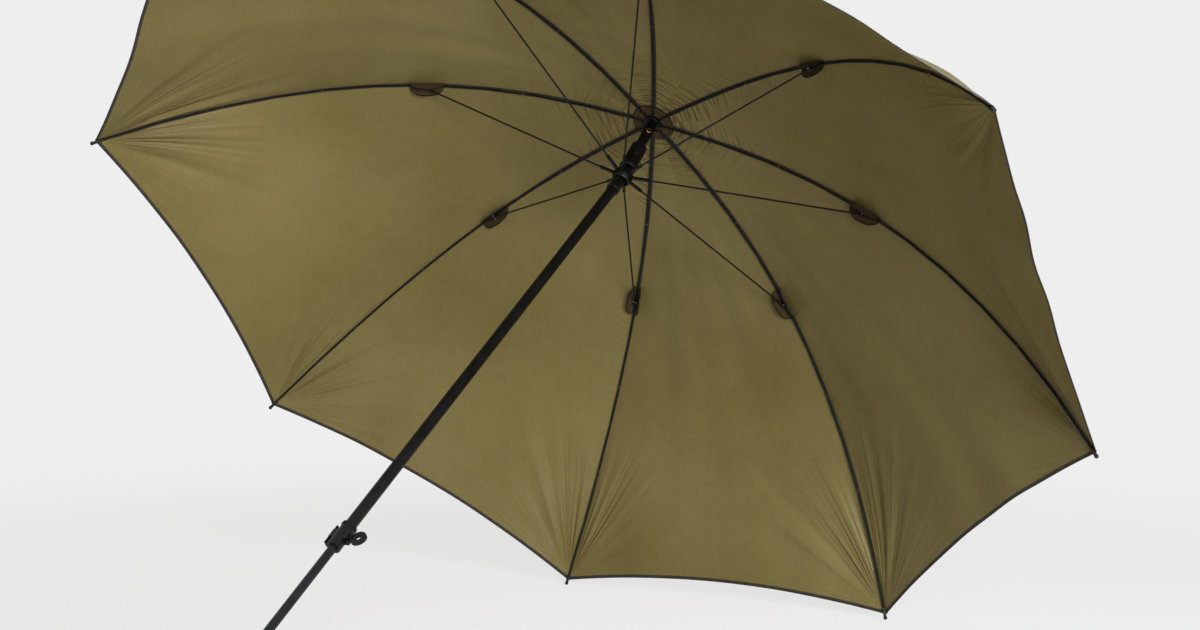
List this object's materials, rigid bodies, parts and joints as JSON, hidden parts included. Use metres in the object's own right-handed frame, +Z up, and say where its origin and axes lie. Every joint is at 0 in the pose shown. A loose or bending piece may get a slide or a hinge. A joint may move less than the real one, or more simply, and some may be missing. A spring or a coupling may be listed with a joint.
{
  "type": "fishing umbrella",
  "caption": "Open fishing umbrella leaning on two rib tips and its ground spike: domed cloth on hinged ribs and stretchers, ball runner, tilting knuckle and telescopic pole with thumb clamp",
  "frame": {"origin": "middle of the footprint on the floor, under the leaning umbrella", "axes": "+Z up from the floor; +X level, from the ground spike toward the crown; +Y across, the frame is symmetric about Y = 0"},
  "size_m": [1.9382, 2.0544, 1.5192],
  "materials": {
    "rib": "satin",
    "rib_tip": "satin",
    "rib_bracket": "satin",
    "stretcher": "satin",
    "canopy_panel": "matte",
    "crown": "satin",
    "hinge_wire": "satin",
    "crown_patch": "matte",
    "top_cap": "satin",
    "neck_tube": "gloss",
    "neck_eyelet": "polished",
    "tilt_housing": "satin",
    "tilt_button": "gloss",
    "pole_fork": "satin",
    "tilt_pin": "polished",
    "runner_ball": "satin",
    "runner_sleeve": "satin",
    "upper_tube": "gloss",
    "lower_tube": "satin",
    "clamp_collar": "satin",
    "clamp_plate": "satin",
    "clamp_screw": "satin",
    "ground_spike": "satin"
  },
  "bodies": {
    "pole": {"upper_tube": "upper_tube", "pole_fork": "pole_fork", "tilt_pin": "tilt_pin", "clamp_collar": "clamp_collar", "clamp_plate": "clamp_plate"},
    "telescope": {"lower_tube": "lower_tube", "ground_spike": "ground_spike"},
    "screw": {"clamp_screw": "clamp_screw"},
    "runner": {"runner_sleeve": "runner_sleeve"},
    "ball": {"runner_ball": "runner_ball"},
    "head": {"crown": "crown", "hinge_wire": "hinge_wire", "crown_patch": "crown_patch", "top_cap": "top_cap", "neck_tube": "neck_tube", "neck_eyelet": "neck_eyelet", "tilt_housing": "tilt_housing"},
    "button": {"tilt_button": "tilt_button"},
    "arm_1": {"rib_1": "rib", "rib_tip_1": "rib_tip", "rib_bracket_1": "rib_bracket", "canopy_panel_1": "canopy_panel"},
    "strut_1": {"stretcher_1": "stretcher"},
    "arm_2": {"rib_2": "rib", "rib_tip_2": "rib_tip", "rib_bracket_2": "rib_bracket", "canopy_panel_2": "canopy_panel"},
    "strut_2": {"stretcher_2": "stretcher"},
    "arm_3": {"rib_3": "rib", "rib_tip_3": "rib_tip", "rib_bracket_3": "rib_bracket", "canopy_panel_3": "canopy_panel"},
    "strut_3": {"stretcher_3": "stretcher"},
    "arm_4": {"rib_4": "rib", "rib_tip_4": "rib_tip", "rib_bracket_4": "rib_bracket", "canopy_panel_4": "canopy_panel"},
    "strut_4": {"stretcher_4": "stretcher"},
    "arm_5": {"rib_5": "rib", "rib_tip_5": "rib_tip", "rib_bracket_5": "rib_bracket", "canopy_panel_5": "canopy_panel"},
    "strut_5": {"stretcher_5": "stretcher"},
    "arm_6": {"rib_6": "rib", "rib_tip_6": "rib_tip", "rib_bracket_6": "rib_bracket", "canopy_panel_6": "canopy_panel"},
    "strut_6": {"stretcher_6": "stretcher"},
    "arm_7": {"rib_7": "rib", "rib_tip_7": "rib_tip", "rib_bracket_7": "rib_bracket", "canopy_panel_7": "canopy_panel"},
    "strut_7": {"stretcher_7": "stretcher"},
    "arm_8": {"rib_8": "rib", "rib_tip_8": "rib_tip", "rib_bracket_8": "rib_bracket", "canopy_panel_8": "canopy_panel"},
    "strut_8": {"stretcher_8": "stretcher"}
  },
  "joints": [
    {"name": "fold", "type": "slide", "parent": "pole", "child": "runner", "axis": [-0.8298, 0, -0.5581], "range_m": [0, 0.75799]},
    {"name": "tilt", "type": "hinge", "parent": "pole", "child": "head", "pos_m": [0.50566, 0, 0.99136], "axis": [0, 1, 0], "range_deg": [-8.7, 8.7]},
    {"name": "ball_tilt", "type": "hinge", "parent": "runner", "child": "ball", "pos_m": [0.50566, 0, 0.99136], "axis": [0, 1, 0], "range_deg": [-8.7, 8.7]},
    {"name": "telescope_slide", "type": "slide", "parent": "pole", "child": "telescope", "axis": [0.8298, 0, 0.5581], "range_m": [0, 0.46]},
    {"name": "screw_turn", "type": "hinge", "parent": "pole", "child": "screw", "pos_m": [-0.45358, 0, 0.34622], "axis": [0, -1, 0], "range_deg": [0, 360]},
    {"name": "button_press", "type": "slide", "parent": "head", "child": "button", "axis": [0.4788, 0.7071, -0.5203], "range_m": [0, 0.003], "stiffness_N_per_m": 300, "springref_m": -0.002},
    {"name": "rib_fold_1", "type": "hinge", "parent": "head", "child": "arm_1", "pos_m": [0.64548, 0.00631, 1.09932], "axis": [-0.2591, 0.9239, 0.2816], "range_deg": [0, 62.5], "deforming": ["canopy_panel_1"]},
    {"name": "stretcher_fold_1", "type": "hinge", "parent": "arm_1", "child": "strut_1", "pos_m": [0.88877, 0.19465, 0.70529], "axis": [0.2591, -0.9239, -0.2816], "range_deg": [0, 128.66]},
    {"name": "rib_fold_2", "type": "hinge", "parent": "head", "child": "arm_2", "pos_m": [0.63944, 0.01524, 1.10589], "axis": [-0.6256, 0.3827, 0.6798], "range_deg": [0, 62.5], "deforming": ["canopy_panel_2"]},
    {"name": "stretcher_fold_2", "type": "hinge", "parent": "arm_2", "child": "strut_2", "pos_m": [0.70236, 0.46992, 0.90785], "axis": [0.6256, -0.3827, -0.6798], "range_deg": [0, 128.66]},
    {"name": "rib_fold_3", "type": "hinge", "parent": "head", "child": "arm_3", "pos_m": [0.63089, 0.01524, 1.11518], "axis": [-0.6256, -0.3827, 0.6798], "range_deg": [0, 62.5], "deforming": ["canopy_panel_3"]},
    {"name": "stretcher_fold_3", "type": "hinge", "parent": "arm_3", "child": "strut_3", "pos_m": [0.43874, 0.46992, 1.1943], "axis": [0.6256, 0.3827, -0.6798], "range_deg": [0, 128.66]},
    {"name": "rib_fold_4", "type": "hinge", "parent": "head", "child": "arm_4", "pos_m": [0.62484, 0.00631, 1.12176], "axis": [-0.2591, -0.9239, 0.2816], "range_deg": [0, 62.5], "deforming": ["canopy_panel_4"]},
    {"name": "stretcher_fold_4", "type": "hinge", "parent": "arm_4", "child": "strut_4", "pos_m": [0.25233, 0.19465, 1.39686], "axis": [0.2591, 0.9239, -0.2816], "range_deg": [0, 128.66]},
    {"name": "rib_fold_5", "type": "hinge", "parent": "head", "child": "arm_5", "pos_m": [0.62484, -0.00631, 1.12176], "axis": [0.2591, -0.9239, -0.2816], "range_deg": [0, 62.5], "deforming": ["canopy_panel_5"]},
    {"name": "stretcher_fold_5", "type": "hinge", "parent": "arm_5", "child": "strut_5", "pos_m": [0.25233, -0.19465, 1.39686], "axis": [-0.2591, 0.9239, 0.2816], "range_deg": [0, 128.66]},
    {"name": "rib_fold_6", "type": "hinge", "parent": "head", "child": "arm_6", "pos_m": [0.63089, -0.01524, 1.11518], "axis": [0.6256, -0.3827, -0.6798], "range_deg": [0, 62.5], "deforming": ["canopy_panel_6"]},
    {"name": "stretcher_fold_6", "type": "hinge", "parent": "arm_6", "child": "strut_6", "pos_m": [0.43874, -0.46992, 1.1943], "axis": [-0.6256, 0.3827, 0.6798], "range_deg": [0, 128.66]},
    {"name": "rib_fold_7", "type": "hinge", "parent": "head", "child": "arm_7", "pos_m": [0.63944, -0.01524, 1.10589], "axis": [0.6256, 0.3827, -0.6798], "range_deg": [0, 62.5], "deforming": ["canopy_panel_7"]},
    {"name": "stretcher_fold_7", "type": "hinge", "parent": "arm_7", "child": "strut_7", "pos_m": [0.70236, -0.46992, 0.90785], "axis": [-0.6256, -0.3827, 0.6798], "range_deg": [0, 128.66]},
    {"name": "rib_fold_8", "type": "hinge", "parent": "head", "child": "arm_8", "pos_m": [0.64548, -0.00631, 1.09932], "axis": [0.2591, 0.9239, -0.2816], "range_deg": [0, 62.5], "deforming": ["canopy_panel_8"]},
    {"name": "stretcher_fold_8", "type": "hinge", "parent": "arm_8", "child": "strut_8", "pos_m": [0.88877, -0.19465, 0.70529], "axis": [-0.2591, -0.9239, 0.2816], "range_deg": [0, 128.66]}
  ],
  "couplings": [
    {"joint": "ball_tilt", "follows": "tilt", "ratio": 1},
    {"joint": "rib_fold_1", "follows": "fold", "rad_per_m": 1.4391},
    {"joint": "stretcher_fold_1", "follows": "fold", "rad_per_m": 2.9623},
    {"joint": "rib_fold_2", "follows": "fold", "rad_per_m": 1.4391},
    {"joint": "stretcher_fold_2", "follows": "fold", "rad_per_m": 2.9623},
    {"joint": "rib_fold_3", "follows": "fold", "rad_per_m": 1.4391},
    {"joint": "stretcher_fold_3", "follows": "fold", "rad_per_m": 2.9623},
    {"joint": "rib_fold_4", "follows": "fold", "rad_per_m": 1.4391},
    {"joint": "stretcher_fold_4", "follows": "fold", "rad_per_m": 2.9623},
    {"joint": "rib_fold_5", "follows": "fold", "rad_per_m": 1.4391},
    {"joint": "stretcher_fold_5", "follows": "fold", "rad_per_m": 2.9623},
    {"joint": "rib_fold_6", "follows": "fold", "rad_per_m": 1.4391},
    {"joint": "stretcher_fold_6", "follows": "fold", "rad_per_m": 2.9623},
    {"joint": "rib_fold_7", "follows": "fold", "rad_per_m": 1.4391},
    {"joint": "stretcher_fold_7", "follows": "fold", "rad_per_m": 2.9623},
    {"joint": "rib_fold_8", "follows": "fold", "rad_per_m": 1.4391},
    {"joint": "stretcher_fold_8", "follows": "fold", "rad_per_m": 2.9623}
  ]
}
